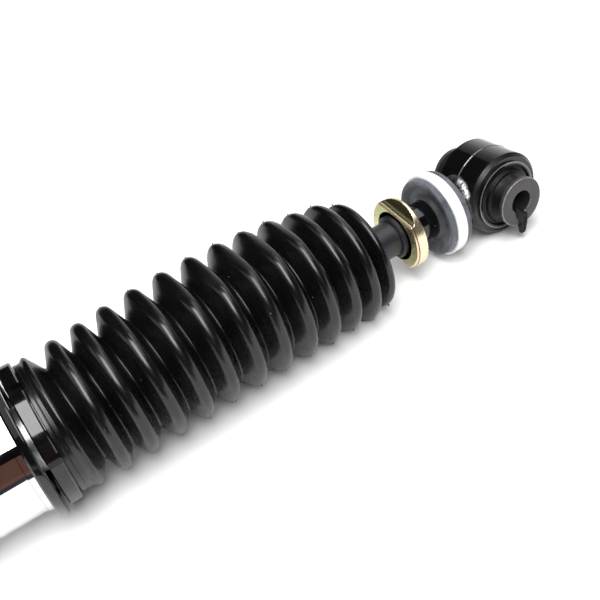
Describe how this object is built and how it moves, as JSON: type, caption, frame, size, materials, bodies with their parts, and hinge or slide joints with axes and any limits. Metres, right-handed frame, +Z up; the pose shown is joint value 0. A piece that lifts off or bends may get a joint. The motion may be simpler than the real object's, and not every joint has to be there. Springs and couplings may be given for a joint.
{
  "type": "rear shock absorber",
  "caption": "Motorcycle rear shock absorber with a chrome canister, notched preload ring, ribbed rubber boot, jam nut, rubber cushion and rubber-bushed mounting eyes.",
  "frame": {"origin": "centre of the lower eye bore", "axes": "+X along the shock from the lower eye to the upper eye, +Y along both eye bores, +Z up as the shock lies"},
  "size_m": [0.493, 0.0692, 0.0692],
  "materials": {
    "chrome": "mirror chrome plate",
    "gloss_black": "gloss black paint with polished edges",
    "black_steel": "black-oxide steel, worn bright at the edges",
    "yellow_zinc": "yellow chromated zinc plate, iridescent",
    "boot_rubber": "moulded glossy black rubber",
    "bush_rubber": "moulded black rubber",
    "cushion_rubber": "matte slate-grey rubber",
    "band_aluminium": "turned aluminium, fine scratches",
    "weld_metal": "bare weld bead",
    "ground_steel": "ground steel",
    "hard_chrome": "hard-chromed and polished",
    "spring_steel": "powder-coated spring steel",
    "machined_aluminium": "machined aluminium",
    "seal_rubber": "nitrile seal rubber",
    "guide_bronze": "bronze bearing lining",
    "piston_ptfe": "filled low-friction plastic",
    "stop_foam": "cellular polyurethane"
  },
  "bodies": {
    "damper": {"lower_eye": "gloss_black", "lower_bush_shell": "gloss_black", "lower_bush_rubber": "bush_rubber", "base_cap": "gloss_black", "canister": "chrome", "pressure_tube": "ground_steel", "rod_guide": "machined_aluminium", "head_seal_ring": "seal_rubber", "guide_bush": "guide_bronze", "oil_seal": "seal_rubber", "seal_circlip": "ground_steel", "wiper": "seal_rubber", "lock_ring": "gloss_black", "coil_spring": "spring_steel", "boot": "boot_rubber"},
    "rod": {"piston_rod": "hard_chrome", "piston": "machined_aluminium", "piston_band": "piston_ptfe", "compression_shims": "ground_steel", "rebound_shims": "ground_steel", "piston_nut": "ground_steel", "topout_bumper": "seal_rubber", "bump_stop": "stop_foam", "stop_spacer": "ground_steel", "upper_spring_seat": "black_steel", "rod_stud": "black_steel", "stud_washer": "black_steel", "jam_nut": "yellow_zinc", "bump_cushion": "cushion_rubber", "cushion_band": "band_aluminium", "weld_bead": "weld_metal", "upper_eye": "gloss_black", "upper_bush_shell": "gloss_black", "upper_bush_rubber": "bush_rubber"},
    "float": {"floating_piston": "machined_aluminium", "float_seal_ring": "seal_rubber"},
    "seat": {"spring_seat": "black_steel"},
    "preload": {"preload_ring": "gloss_black"},
    "lower_bush": {"lower_sleeve": "black_steel", "lower_far_flange": "black_steel", "lower_bush_tab": "bush_rubber"},
    "upper_bush": {"upper_sleeve": "black_steel", "upper_far_flange": "black_steel", "upper_bush_tab": "bush_rubber"}
  },
  "joints": [
    {"name": "rod_slide", "type": "slide", "parent": "damper", "child": "rod", "axis": [1, 0, 0], "range_m": [-0.06, 0], "stiffness_N_per_m": 12000, "springref_m": 0.004, "deforming": ["boot", "coil_spring"]},
    {"name": "float_slide", "type": "slide", "parent": "damper", "child": "float", "axis": [1, 0, 0], "range_m": [-0.0068, 0]},
    {"name": "seat_slide", "type": "slide", "parent": "damper", "child": "seat", "axis": [1, 0, 0], "range_m": [-0.0016, 0]},
    {"name": "preload_turn", "type": "hinge", "parent": "seat", "child": "preload", "pos_m": [0.2, 0, 0], "axis": [1, 0, 0], "range_deg": [-180, 0]},
    {"name": "lower_bush_twist", "type": "hinge", "parent": "damper", "child": "lower_bush", "pos_m": [0, 0, 0], "axis": [0, 1, 0], "range_deg": [-15, 15], "stiffness_Nm_per_rad": 5.7},
    {"name": "upper_bush_twist", "type": "hinge", "parent": "rod", "child": "upper_bush", "pos_m": [0.45, 0, 0], "axis": [0, 1, 0], "range_deg": [-15, 15], "stiffness_Nm_per_rad": 5.7}
  ],
  "couplings": [
    {"joint": "float_slide", "follows": "rod_slide", "ratio": 0.11111},
    {"joint": "seat_slide", "follows": "preload_turn", "m_per_rad": 0.00047746}
  ]
}
